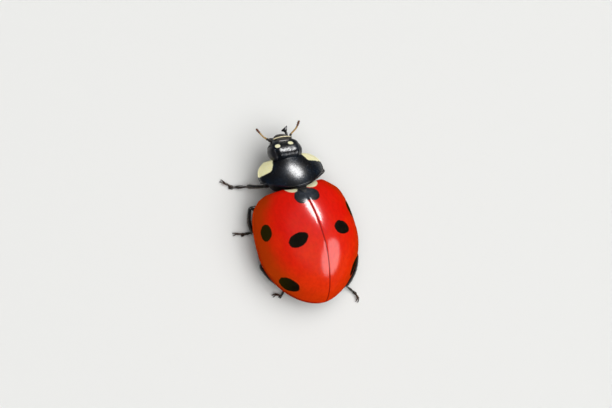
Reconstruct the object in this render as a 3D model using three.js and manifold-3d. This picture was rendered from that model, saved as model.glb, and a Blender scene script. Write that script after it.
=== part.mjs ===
// A seven-spot ladybird at life size, standing on its six feet in mid stride, as a still model.
// Millimetres, +Z up, head towards -Y, so that the animal's left side is +X. The floor is z = 0.
// Every plate of the beetle's shell, each eye, feeler, palp and leg segment is a solid of its own.
import * as THREE from "three";
import { mergeVertices } from "three/addons/utils/BufferGeometryUtils.js";
import Module from "manifold-3d";

const wasm = await Module();
wasm.setup();

// ---------------------------------------------------------------- driving dimensions
const GAP = 0.02; // clearance between neighbouring solids
const SLIVER = 0.003; // faces thinner than this are merged into their neighbours

const CASE = {
  halfWidth: 2.6, // wing cases, measured from the seam to the side margin
  midY: -0.3, // where they are widest
  frontReach: 3.2, // from there to where the front curve would close
  rearReach: 2.86, // from there to the tail tip
  frontRound: 2.7, // superellipse powers of the plan outline
  rearRound: 1.8,
  baseY: -2.97, // front edge of the wing cases
  baseHollow: 0.13, // how far it is drawn back at the seam
  marginZ: 1.0, // height of the side margin above the floor
  marginSlope: 0.03, // how much the margin falls for each millimetre towards the tail
  dome: 1.92, // height of the back above the margin
  frontRise: 1.9, // powers of the side profile
  rearRise: 1.7,
  crown: 1.32, // shape of the cross section: 1 is an ellipse, more gives flatter flanks
  thick: 0.5,
};
const BELLY = { depth: 0.42, waistY: -0.95 };
const SHIELD = {
  // the pronotum, a domed shield with its long side across
  halfWidth: 1.64,
  taper: 0.36, // share of the width lost from the rear corners to the front ones
  rearY: -2.89,
  rearSweep: 0.57, // how far forward its rear corners lie
  frontY: -4.42,
  ridgeRear: 2.15,
  ridgeFront: 1.75,
  marginRear: 1.4,
  marginFront: 1.12,
  thick: 0.45,
  turn: 3.5, // degrees that it is turned to the animal's right
};
const SCUTELLUM = { halfWidth: 0.27, length: 0.46, thick: 0.5, tilt: 0.5 };
const HEAD = {
  centre: [-0.01, -4.8, 1.42],
  size: [0.68, 0.58, 0.43], // half sizes: across, towards the mouth, through the face
  power: 2.6,
  pitch: 22, // degrees that the mouth points below the horizon
  yaw: 6, // degrees that the head is turned to the animal's right
};
const EYE = { out: 0.58, along: -0.1, up: 0.02, size: [0.25, 0.34, 0.29] };

// Joint places of the legs: hip, knee, ankle, pad joint and claw tip.
const LEGS = {
  front_left: [
    [0.5, -3.42, 0.82],
    [1.6, -3.44, 0.8],
    [2.12, -3.62, 0.28],
    [2.6, -3.81, 0.2],
    [2.92, -4.18, 0.2],
  ],
  front_right: [
    [-0.5, -3.42, 0.82],
    [-1.86, -3.34, 0.8],
    [-1.5, -3.0, 0.28],
    [-1.64, -2.58, 0.2],
    [-1.76, -2.26, 0.2],
  ],
  middle_left: [
    [0.85, -2.1, 0.62],
    [2.12, -2.52, 0.6],
    [2.22, -1.55, 0.28],
    [2.75, -1.51, 0.2],
    [3.16, -1.66, 0.2],
  ],
  middle_right: [
    [-0.85, -2.1, 0.62],
    [-2.1, -1.5, 0.6],
    [-2.14, -0.45, 0.28],
    [-2.26, -0.02, 0.2],
    [-2.36, 0.4, 0.2],
  ],
  hind_left: [
    [0.9, -0.75, 0.62],
    [2.38, 0.14, 0.6],
    [1.28, 1.3, 0.28],
    [1.7, 1.6, 0.2],
    [2.06, 1.55, 0.2],
  ],
  hind_right: [
    [-0.9, -0.75, 0.62],
    [-2.32, 0.76, 0.6],
    [-1.62, 2.08, 0.28],
    [-2.04, 2.64, 0.2],
    [-1.96, 2.93, 0.2],
  ],
};
const COXA = [0.36, 0.3, 0.27]; // half sizes of a hip piece
const LEG_RADIUS = { femur: [0.25, 0.29, 0.25], tibia: [0.24, 0.25, 0.25], tarsus: [0.25, 0.26, 0.27] };
const CLAW_RADIUS = [0.27, 0.27, 0.25];

// Feelers and palps: the points that each follows from the head outwards.
const FEELERS = {
  left: [
    [0.4, -5.14, 1.36],
    [0.78, -5.46, 1.34],
    [0.88, -5.74, 1.36],
    [0.97, -6.02, 1.38],
  ],
  right: [
    [-0.55, -5.06, 1.36],
    [-0.7, -5.42, 1.4],
    [-1.02, -5.62, 1.42],
    [-1.22, -5.88, 1.44],
  ],
};
const FEELER_RADIUS = 0.23;
const FEELER_SHARES = [[1, 1, 1], [0.95, 0.95, 0.95], [0.95, 1, 0.9]]; // of the radius, along each piece
const PALPS = {
  left: [[0.2, -5.16, 0.92], [0.32, -5.38, 0.8]],
  right: [[-0.5, -5.25, 0.98], [-0.64, -5.68, 0.88]],
};
const PALP_RADIUS = 0.24;

// ---------------------------------------------------------------- solids from three.js shapes
const vec = (p) => new THREE.Vector3(...p);

// Turns the faces of a mirrored geometry outwards again.
function flipped(geometry) {
  const index = geometry.index.array;
  for (let i = 0; i < index.length; i += 3) [index[i], index[i + 2]] = [index[i + 2], index[i]];
  return geometry;
}

// A closed three.js geometry as a solid, with the triangles that collapse at a pole left out.
function solid(geometry) {
  const bare = geometry.clone();
  for (const name of Object.keys(bare.attributes)) if (name !== "position") bare.deleteAttribute(name);
  const merged = mergeVertices(bare, 1e-4);
  const index = [];
  for (let i = 0; i < merged.index.count; i += 3) {
    const [a, b, c] = [0, 1, 2].map((k) => merged.index.getX(i + k));
    if (a !== b && b !== c && a !== c) index.push(a, b, c);
  }
  return new wasm.Manifold(
    new wasm.Mesh({
      numProp: 3,
      vertProperties: new Float32Array(merged.attributes.position.array),
      triVerts: new Uint32Array(index),
    }),
  );
}

// Moves each vertex of a geometry by a formula of its place.
function mapped(geometry, place) {
  const position = geometry.attributes.position;
  for (let i = 0; i < position.count; i++)
    position.setXYZ(i, ...place(position.getX(i), position.getY(i), position.getZ(i)));
  return geometry;
}

// An ellipsoid turned by a quaternion. A power above 2 makes it boxier.
function ellipsoid(centre, size, detail, turn = new THREE.Quaternion(), power = 2) {
  const matrix = new THREE.Matrix4().compose(vec(centre), turn, vec(size));
  const ball = mapped(new THREE.SphereGeometry(1, detail, Math.round(detail * 0.7)), (x, y, z) => {
    const reach = (Math.abs(x) ** power + Math.abs(y) ** power + Math.abs(z) ** power) ** (1 / power);
    return [x / reach, y / reach, z / reach];
  });
  return solid(ball.applyMatrix4(matrix));
}

// The same solid with GAP of clearance on every side, to cut its seat in a neighbour.
function clear(s) {
  const box = s.boundingBox();
  const middle = [0, 1, 2].map((k) => (box.min[k] + box.max[k]) / 2);
  const grow = [0, 1, 2].map((k) => 1 + (2 * GAP) / (box.max[k] - box.min[k]));
  return s
    .translate(middle.map((m) => -m))
    .scale(grow)
    .translate(middle);
}

const ROUND = THREE.MathUtils.degToRad(50); // where the one step of a limb's rounded end lies

// A round limb from a to b whose radius runs through the list, with rounded ends.
function limb(a, b, radii, sides = 8) {
  const [start, end] = [vec(a), vec(b)];
  const length = start.distanceTo(end);
  const first = radii[0];
  const last = radii[radii.length - 1];
  const stations = radii.map((r, i) => new THREE.Vector3(r, (length * i) / (radii.length - 1), 0));
  const shaft = new THREE.CatmullRomCurve3(stations).getPoints(2);
  const profile = [
    new THREE.Vector2(0, -first),
    new THREE.Vector2(first * Math.cos(ROUND), -first * Math.sin(ROUND)),
    ...shaft.map((p) => new THREE.Vector2(p.x, p.y)),
    new THREE.Vector2(last * Math.cos(ROUND), length + last * Math.sin(ROUND)),
    new THREE.Vector2(0, length + last),
  ];
  const along = new THREE.Quaternion().setFromUnitVectors(
    new THREE.Vector3(0, 1, 0),
    end.clone().sub(start).normalize(),
  );
  const matrix = new THREE.Matrix4().compose(start, along, new THREE.Vector3(1, 1, 1));
  return solid(new THREE.LatheGeometry(profile, sides).applyMatrix4(matrix));
}

// Keeps the part of a solid on the far side of a plane through a point, GAP/2 beyond it.
function beyond(s, point, normal) {
  const n = normal.clone().normalize();
  return s.trimByPlane([n.x, n.y, n.z], n.dot(vec(point)) + GAP / 2);
}

// The direction that halves the bend at joint b of the chain a, b, c.
function bisector(a, b, c) {
  const into = vec(b).sub(vec(a)).normalize();
  const out = vec(c).sub(vec(b)).normalize();
  return into.add(out).normalize();
}

// Limbs along a chain of joints, parted by thin cuts that halve the bend at each joint.
function chain(points, radiiOfEach) {
  return radiiOfEach.map((radii, i) => {
    let s = limb(points[i], points[i + 1], radii);
    if (i > 0) s = beyond(s, points[i], bisector(points[i - 1], points[i], points[i + 1]));
    if (i < radiiOfEach.length - 1)
      s = beyond(s, points[i + 1], bisector(points[i], points[i + 1], points[i + 2]).negate());
    return s;
  });
}

// ---------------------------------------------------------------- wing cases and what they cover
// Plan half width, margin height and back height at a station y, drawn in by an inset all round.
function outline(y, inset) {
  const front = y < CASE.midY;
  const reach = (front ? CASE.frontReach : CASE.rearReach) - inset;
  const v = Math.min(1, Math.abs(y - CASE.midY) / reach);
  const plan = front ? CASE.frontRound : CASE.rearRound;
  const rise = front ? CASE.frontRise : CASE.rearRise;
  const margin = CASE.marginZ - CASE.marginSlope * (y - CASE.midY);
  return {
    half: (CASE.halfWidth - inset) * (1 - v ** plan) ** (1 / plan),
    margin,
    back: margin + (CASE.dome - inset) * (1 - v ** rise) ** (1 / rise),
  };
}

// The body's dome over a belly of the given depth, closed, from the neck to the tail.
function dome(inset, depth, detail) {
  const sphere = new THREE.SphereGeometry(1, detail, Math.round(detail * 0.75)); // its poles lie on Y
  return solid(
    mapped(sphere, (sx, sy, sz) => {
      const y = CASE.midY + (sy < 0 ? sy * (CASE.frontReach - inset) : sy * (CASE.rearReach - inset));
      const { half, margin, back } = outline(y, inset);
      const ring = Math.hypot(sx, sz) || 1;
      const [across, up] = [sx / ring, -sz / ring];
      const shrink = half / CASE.halfWidth;
      const z = up > 0 ? margin + (back - margin) * up ** CASE.crown : margin + depth * shrink * up;
      return [-half * across, y, z];
    }),
  );
}

const body = dome(CASE.thick + GAP, BELLY.depth, 18);

// One wing case, side being 1 for the left: a shell whose inside follows its outside.
function wingCase(side) {
  const box = new THREE.BoxGeometry(1, 1, 1, 9, 20, 1);
  const tail = CASE.midY + CASE.rearReach * 0.995;
  const frontTurn = Math.asin((CASE.midY - CASE.baseY) / CASE.frontReach);
  const rearTurn = Math.asin(0.995);
  const shell = mapped(box, (bx, by, bz) => {
    const [fromSeam, back] = [bx + 0.5, by + 0.5];
    const inset = bz < 0 ? CASE.thick : 0;
    const turn = THREE.MathUtils.lerp(-frontTurn, rearTurn, back);
    const reach = turn < 0 ? CASE.frontReach : CASE.rearReach;
    const v = Math.abs(Math.sin(turn));
    const y = CASE.midY + reach * Math.sin(turn);
    const { half, margin, back: top } = outline(y, 0);
    const angle = (1 - fromSeam ** 0.9) * (Math.PI / 2);
    const x = Math.max(GAP / 2, (half - inset * (1 - 0.6 * v ** 6)) * Math.cos(angle));
    const z = margin + (top - margin - inset * (1 - 0.75 * v ** 4)) * Math.sin(angle) ** CASE.crown;
    const nearBase = Math.max(0, 1 - (y - CASE.baseY) / 0.7);
    const hollow = CASE.baseHollow * Math.max(0, 1 - (x / 0.85) ** 2) * nearBase;
    const draw = turn > 0 ? inset * v ** 5 : 0;
    return [side * x, Math.min(y, tail) + hollow - draw, z];
  });
  return solid(side > 0 ? shell : flipped(shell));
}

const UP = new THREE.Vector3(0, 0, 1);

// The small triangular plate where the wing cases meet behind the pronotum.
function scutellum() {
  const { halfWidth, length, thick, tilt } = SCUTELLUM;
  const shape = new THREE.Shape();
  shape.moveTo(-halfWidth, 0);
  shape.lineTo(halfWidth, 0);
  shape.quadraticCurveTo(halfWidth * 0.6, length * 0.6, 0, length);
  shape.quadraticCurveTo(-halfWidth * 0.6, length * 0.6, -halfWidth, 0);
  const plate = new THREE.ExtrudeGeometry(shape, { depth: thick, bevelEnabled: false, curveSegments: 5 });
  const y = SHIELD.rearY + GAP;
  const lean = new THREE.Quaternion().setFromAxisAngle(new THREE.Vector3(1, 0, 0), tilt);
  const place = vec([0, y, outline(y, 0).back + GAP]);
  plate.translate(0, 0, -thick);
  plate.applyMatrix4(new THREE.Matrix4().compose(place, lean, vec([1, 1, 1])));
  return solid(plate);
}

// ---------------------------------------------------------------- fore body
// The pronotum: across runs from -1 to 1, forward from 0 at the rear edge to 1 at the front.
function shield(extra) {
  const box = new THREE.BoxGeometry(2, 1, 1, 14, 6, 1);
  const turn = THREE.MathUtils.degToRad(SHIELD.turn);
  return solid(
    mapped(box, (bx, by, bz) => {
      const [across, forward] = [bx, 0.5 - by];
      const half = SHIELD.halfWidth * (1 - SHIELD.taper * forward ** 2.1);
      const rear = SHIELD.rearY - SHIELD.rearSweep * Math.abs(across) ** 1.9;
      const ridge = SHIELD.ridgeRear + (SHIELD.ridgeFront - SHIELD.ridgeRear) * forward ** 1.3;
      const margin = SHIELD.marginRear + (SHIELD.marginFront - SHIELD.marginRear) * forward;
      const top = margin + (ridge - margin) * (1 - Math.abs(across) ** 2.1) ** 0.75;
      const depth = bz > 0 ? -extra / 2 : (SHIELD.thick + extra) * (1 - 0.5 * across ** 4);
      const [x, y] = [across * half, THREE.MathUtils.lerp(rear, SHIELD.frontY, forward) - SHIELD.rearY];
      return [
        x * Math.cos(turn) + y * Math.sin(turn),
        SHIELD.rearY + y * Math.cos(turn) - x * Math.sin(turn),
        top - depth,
      ];
    }),
  );
}

const headPitch = new THREE.Quaternion().setFromAxisAngle(
  new THREE.Vector3(1, 0, 0),
  THREE.MathUtils.degToRad(HEAD.pitch),
);
const headTurn = new THREE.Quaternion()
  .setFromAxisAngle(UP, -THREE.MathUtils.degToRad(HEAD.yaw))
  .multiply(headPitch);

// A place in the head's own axes: left, towards the mouth, out of the face.
function onHead(left, mouth, face) {
  return vec([left, -mouth, face]).applyQuaternion(headTurn).add(vec(HEAD.centre)).toArray();
}
const eyes = {
  left: ellipsoid(onHead(EYE.out, EYE.along, EYE.up), EYE.size, 10, headTurn),
  right: ellipsoid(onHead(-EYE.out, EYE.along, EYE.up), EYE.size, 10, headTurn),
};
const pronotum = shield(0);
const pronotumSeat = shield(2 * GAP);
const labrum = ellipsoid(onHead(0, 0.54, -0.1), [0.34, 0.19, 0.25], 10, headTurn);
const skull = ellipsoid(HEAD.centre, HEAD.size, 14, headTurn, HEAD.power);
const head = skull
  .subtract(clear(eyes.left))
  .subtract(clear(eyes.right))
  .subtract(clear(labrum))
  .subtract(pronotumSeat);

// ---------------------------------------------------------------- materials
const finish = (color, roughness) => new THREE.MeshStandardMaterial({ color, roughness });
const LOOKS = {
  red: finish(0xd4200c, 0.22),
  black: finish(0x0b0b0d, 0.28),
  legs: finish(0x15120f, 0.4),
  eye: finish(0x101114, 0.2),
  feeler: finish(0x8a5226, 0.5),
};

const ladybird = new THREE.Group();
ladybird.name = "ladybird";

// Adds one node: a solid, as a named mesh.
function addNode(name, s, material) {
  const { numProp, vertProperties, triVerts } = s.setTolerance(SLIVER).getMesh();
  const count = vertProperties.length / numProp;
  const position = new Float32Array(count * 3);
  for (let i = 0; i < count; i++) position.set(vertProperties.subarray(i * numProp, i * numProp + 3), i * 3);
  const geometry = new THREE.BufferGeometry();
  geometry.setAttribute("position", new THREE.BufferAttribute(position, 3));
  geometry.setIndex(new THREE.BufferAttribute(new Uint32Array(triVerts), 1));
  const mesh = new THREE.Mesh(geometry, material);
  mesh.name = name;
  ladybird.add(mesh);
}

// ---------------------------------------------------------------- legs
function legParts(joints) {
  const [hip, knee, ankle, pad, tip] = joints;
  const coxa = ellipsoid([hip[0] * 0.86, hip[1], hip[2] - 0.04], COXA, 8);
  const seat = limb(hip, knee, LEG_RADIUS.femur.map((r) => r + GAP));
  const [femur, tibia, tarsus, claws] = chain([hip, knee, ankle, pad, tip], [
    LEG_RADIUS.femur,
    LEG_RADIUS.tibia,
    LEG_RADIUS.tarsus,
    CLAW_RADIUS,
  ]);
  const onFloor = (s) => s.trimByPlane([0, 0, 1], 0);
  return {
    seats: [clear(coxa), seat],
    coxa,
    femur: femur.subtract(clear(coxa)),
    tibia: onFloor(tibia),
    tarsus: onFloor(tarsus),
    claws: onFloor(claws),
  };
}

const legs = Object.fromEntries(Object.entries(LEGS).map(([name, joints]) => [name, legParts(joints)]));
const legSeats = Object.values(legs).flatMap(({ seats }) => seats);
const withSeats = (s) => legSeats.reduce((left, seat) => left.subtract(seat), s);

// ---------------------------------------------------------------- trunk
const waist = (side) => [0, side, 0];
const scutellumPlate = scutellum();
const scutellumSeat = clear(scutellumPlate);
const thorax = withSeats(
  body.trimByPlane([0, 1, 0], CASE.baseY).trimByPlane(waist(-1), -BELLY.waistY + GAP / 2),
)
  .subtract(pronotumSeat)
  .subtract(scutellumSeat);
const abdomen = withSeats(body.trimByPlane(waist(1), BELLY.waistY + GAP / 2));
const prosternum = withSeats(ellipsoid([0, -3.6, 1.22], [1.2, 0.82, 0.66], 12))
  .subtract(pronotumSeat)
  .subtract(clear(skull))
  .subtract(clear(eyes.left))
  .subtract(clear(eyes.right))
  .trimByPlane([0, -1, 0], -(CASE.baseY - GAP));
const cases = { left: wingCase(1), right: wingCase(-1) };

addNode("head", head, LOOKS.black);
addNode("labrum", labrum, LOOKS.black);
addNode("eye_left", eyes.left, LOOKS.eye);
addNode("eye_right", eyes.right, LOOKS.eye);
addNode("pronotum", pronotum, LOOKS.black);
addNode("prosternum", prosternum, LOOKS.black);
addNode("scutellum", scutellumPlate.subtract(pronotumSeat), LOOKS.black);
for (const [side, shell] of Object.entries(cases))
  addNode(`elytron_${side}`, shell.subtract(scutellumSeat), LOOKS.red);
addNode("thorax", thorax, LOOKS.black);
addNode("abdomen", abdomen, LOOKS.black);

// ---------------------------------------------------------------- feelers and palps
const face = [skull, labrum, eyes.left, eyes.right].map(clear);
const offFace = (s) => face.reduce((left, piece) => left.subtract(piece), s);
for (const [side, points] of Object.entries(FEELERS)) {
  const parts = chain(points, FEELER_SHARES.map((shares) => shares.map((share) => share * FEELER_RADIUS)));
  for (const [i, part] of ["scape", "shaft", "club"].entries())
    addNode(`antenna_${part}_${side}`, offFace(parts[i]), LOOKS.feeler);
}
for (const [side, points] of Object.entries(PALPS)) {
  const radii = [PALP_RADIUS * 0.9, PALP_RADIUS * 0.95, PALP_RADIUS];
  addNode(`palp_${side}`, offFace(limb(points[0], points[1], radii)), LOOKS.legs);
}

for (const [name, { seats, ...parts }] of Object.entries(legs))
  for (const [part, s] of Object.entries(parts)) addNode(`${part}_${name}`, s, LOOKS.legs);

// The origin is the middle of the footprint, on the floor.
const box = new THREE.Box3().setFromObject(ladybird);
ladybird.position.set(-(box.min.x + box.max.x) / 2, -(box.min.y + box.max.y) / 2, -box.min.z);

export default ladybird;
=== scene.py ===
"""A seven-spot ladybird at life size, on a pale studio floor.

Shapes are worked out in millimetres, in the beetle's own axes: +X is its left, -Y its head, +Z up,
with the seam of the wing cases in the plane x = 0 and the floor at z = 0.
"""

import math
import random

import bmesh
import bpy
import numpy as np
from mathutils import Matrix, Vector, kdtree


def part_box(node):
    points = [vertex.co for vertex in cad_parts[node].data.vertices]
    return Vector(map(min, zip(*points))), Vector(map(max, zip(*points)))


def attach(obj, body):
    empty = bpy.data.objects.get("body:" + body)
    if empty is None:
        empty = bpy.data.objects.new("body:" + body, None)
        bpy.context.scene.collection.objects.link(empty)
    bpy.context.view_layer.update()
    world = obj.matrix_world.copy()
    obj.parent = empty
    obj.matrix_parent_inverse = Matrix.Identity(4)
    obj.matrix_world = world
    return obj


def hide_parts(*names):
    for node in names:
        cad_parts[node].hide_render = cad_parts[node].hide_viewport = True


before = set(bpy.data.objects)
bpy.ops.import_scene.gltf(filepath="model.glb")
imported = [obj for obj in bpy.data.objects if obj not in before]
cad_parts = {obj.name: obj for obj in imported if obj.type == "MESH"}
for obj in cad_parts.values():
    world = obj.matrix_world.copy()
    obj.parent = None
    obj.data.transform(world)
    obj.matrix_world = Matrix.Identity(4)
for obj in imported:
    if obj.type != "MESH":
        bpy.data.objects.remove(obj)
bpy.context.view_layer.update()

MM = 0.001
GAP = 0.02  # width of the seam between the solids of the wing cases
random.seed(7)

# -------- the beetle's measures, in millimetres
CASE_HALF_WIDTH = 2.6
CASE_MID_Y = -0.3
CASE_FRONT_REACH, CASE_REAR_REACH = 3.2, 2.86
CASE_FRONT_ROUND, CASE_REAR_ROUND = 2.7, 1.8
CASE_BASE_Y = -2.97
CASE_BASE_HOLLOW = 0.13
CASE_MARGIN_Z, CASE_MARGIN_SLOPE = 1.0, 0.03
CASE_DOME = 1.92
CASE_FRONT_RISE, CASE_REAR_RISE = 1.9, 1.7
CASE_CROWN = 1.32
CASE_TAIL_Y = CASE_MID_Y + CASE_REAR_REACH * 0.995

SHIELD_HALF_WIDTH, SHIELD_TAPER = 1.62, 0.34
SHIELD_REAR_Y, SHIELD_REAR_SWEEP, SHIELD_FRONT_Y = -2.89, 0.57, -4.42
SHIELD_RIDGE = (2.15, 1.73)  # heights of its midline, rear and front
SHIELD_MARGIN = (1.4, 1.12)  # heights of its side edges, rear and front
SHIELD_TURN = math.radians(2.8)  # to the beetle's right

HEAD_CENTRE = np.array([-0.01, -4.79, 1.42])
HEAD_SIZE = np.array([0.74, 0.58, 0.42])
HEAD_POWERS = np.array([6.0, 2.1, 2.1])  # how square the skull is along each of its own axes
HEAD_PITCH, HEAD_YAW = np.radians([22, 6])
EYE_CENTRE = np.array([0.52, -0.12, 0.0])
EYE_SIZE = np.array([0.33, 0.42, 0.34])
LENS_SPACING, LENS_DOME = 0.042, 0.012  # shares of the eye's radius
FACE_SLOPE = 0.21  # how far the face falls back on its way to the mouth
BEAD = 0.034  # radius of the rolled edge of the wing cases and the pronotum
SIDES = ((1, "left"), (-1, "right"))

# Where the beetle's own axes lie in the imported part: the seam and the tail tip give it.
CASE_LOW, CASE_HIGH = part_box("elytron_left")
SHIFT = np.array([CASE_LOW.x / MM - GAP / 2, CASE_HIGH.y / MM - CASE_TAIL_Y, 0.0])


def unit(v):
    v = np.asarray(v, float)
    return v / np.linalg.norm(v)


def smooth(low, high, value):
    """0 at low, 1 at high, and an S curve between."""
    t = np.clip((np.asarray(value, float) - low) / (high - low), 0, 1)
    return t * t * (3 - 2 * t)


def taper(stops, t):
    """The value at t of a smooth line through (place, value) stops."""
    places, values = zip(*stops)
    i = int(np.clip(np.searchsorted(places, t) - 1, 0, len(places) - 2))
    return values[i] + (values[i + 1] - values[i]) * smooth(places[i], places[i + 1], t)


def tapered(stops, count):
    """The values of that line at count even steps from 0 to 1."""
    return [taper(stops, t) for t in np.linspace(0, 1, count)]


def bent(points, count):
    """A smooth curve of count points through the given ones."""
    points = np.asarray(points, float)
    ghost = np.vstack([2 * points[0] - points[1], points, 2 * points[-1] - points[-2]])
    made = []
    for s in np.linspace(0, len(points) - 1 - 1e-9, count):
        i = int(s)
        t = s - i
        a, b, c, d = ghost[i : i + 4]
        bend = 2 * b + (c - a) * t + (2 * a - 5 * b + 4 * c - d) * t**2 + (3 * b - a - 3 * c + d) * t**3
        made.append(0.5 * bend)
    return np.array(made)


# -------- shader maths
class Flow:
    """One value in a node tree, on which plain maths adds the nodes that work it out."""

    def __init__(self, nodes, socket):
        self.nodes = nodes
        self.socket = socket

    def maths(self, operation, *operands):
        return self.nodes.node("ShaderNodeMath", {"operation": operation}, dict(enumerate(operands)))

    def __add__(self, other):
        return self.maths("ADD", self, other)

    __radd__ = __add__

    def __sub__(self, other):
        return self.maths("SUBTRACT", self, other)

    def __rsub__(self, other):
        return self.maths("SUBTRACT", other, self)

    def __mul__(self, other):
        return self.maths("MULTIPLY", self, other)

    __rmul__ = __mul__

    def __truediv__(self, other):
        return self.maths("DIVIDE", self, other)

    def __pow__(self, other):
        return self.maths("POWER", self, other)

    def __abs__(self):
        return self.maths("ABSOLUTE", self)

    def most(self, other):
        return self.maths("MAXIMUM", self, other)

    def ramp(self, low, high):
        """0 at low, 1 at high, and an S curve between; low may be the larger."""
        settings = {"interpolation_type": "SMOOTHSTEP"}
        return self.nodes.node("ShaderNodeMapRange", settings, {0: self, 1: low, 2: high, 3: 0.0, 4: 1.0})


class Nodes:
    """A node tree and the one way that nodes get into it."""

    def __init__(self, tree):
        self.tree = tree

    def plug(self, socket, value):
        if isinstance(value, Flow):
            self.tree.links.new(value.socket, socket)
        elif socket.type == "RGBA" and len(value) == 3:
            socket.default_value = (*value, 1)
        else:
            socket.default_value = value

    def node(self, kind, settings, sockets, output=0):
        """Adds a node: its settings first, then the values or links of its sockets."""
        made = self.tree.nodes.new(kind)
        for key, value in settings.items():
            setattr(made, key, value)
        for key, value in sockets.items():
            self.plug(made.inputs[key], value)
        return Flow(self, made.outputs[output])

    def vector(self, operation, a, b):
        return self.node("ShaderNodeVectorMath", {"operation": operation}, {0: a, 1: b})

    def offsets(self, place, origin, directions):
        """How far a place lies from an origin along each direction."""
        away = self.vector("SUBTRACT", place, tuple(origin))
        dot = {"operation": "DOT_PRODUCT"}
        return [self.node("ShaderNodeVectorMath", dot, {0: away, 1: tuple(d)}, "Value") for d in directions]

    def noise(self, place, scale, detail=3.0):
        return self.node("ShaderNodeTexNoise", {}, {"Vector": place, "Scale": scale, "Detail": detail})

    def pits(self, place, scale, low=0.04, high=0.3):
        """0 in the middle of each small pit and 1 between them."""
        cells = self.node("ShaderNodeTexVoronoi", {}, {"Vector": place, "Scale": scale}, "Distance")
        return cells.ramp(low, high)

    def mix(self, factor, low, high):
        """A colour between two others."""
        return self.node("ShaderNodeMix", {"data_type": "RGBA"}, {0: factor, 6: low, 7: high}, 2)


class Look(Nodes):
    """A material with its Principled shader."""

    def __init__(self, name, **fixed):
        self.material = bpy.data.materials.new(name)
        self.material.use_nodes = True
        super().__init__(self.material.node_tree)
        self.shader = self.tree.nodes["Principled BSDF"]
        self.feed(**fixed)

    def feed(self, **sockets):
        for key, value in sockets.items():
            self.plug(self.shader.inputs[key.replace("_", " ").title().replace("Ior", "IOR")], value)
        return self

    def place(self):
        """The place on the beetle, in its own millimetres."""
        spot = self.node("ShaderNodeTexCoord", {}, {}, "Object")
        big = self.node("ShaderNodeVectorMath", {"operation": "SCALE"}, {0: spot, "Scale": 1 / MM})
        return self.vector("SUBTRACT", big, tuple(SHIFT))

    def facing(self):
        """0 where the surface faces the eye squarely, 1 where it is seen edge on."""
        return self.node("ShaderNodeLayerWeight", {}, {"Blend": 0.5}, "Facing")

    def speckle(self, place, least=0.4):
        """How far a fine grain lets the gloss through, from place to place."""
        return least + (1 - least) * self.noise(place, 26.0).ramp(0.38, 0.6)

    def bump(self, height, depth, strength=1.0, **under):
        """A normal from a height of 0 to 1 that stands for depth millimetres."""
        sockets = {"Height": height, "Distance": depth * MM, "Strength": strength}
        sockets |= {key.title(): value for key, value in under.items()}
        return self.node("ShaderNodeBump", {}, sockets)


AXES = ((1, 0, 0), (0, 1, 0), (0, 0, 1))
TUFT_REACH = 0.0015  # how much of the unwrapped skin one hair takes


def put(name, data):
    """A new object in the scene."""
    made = bpy.data.objects.new(name, data)
    bpy.context.collection.objects.link(made)
    return made


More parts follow.
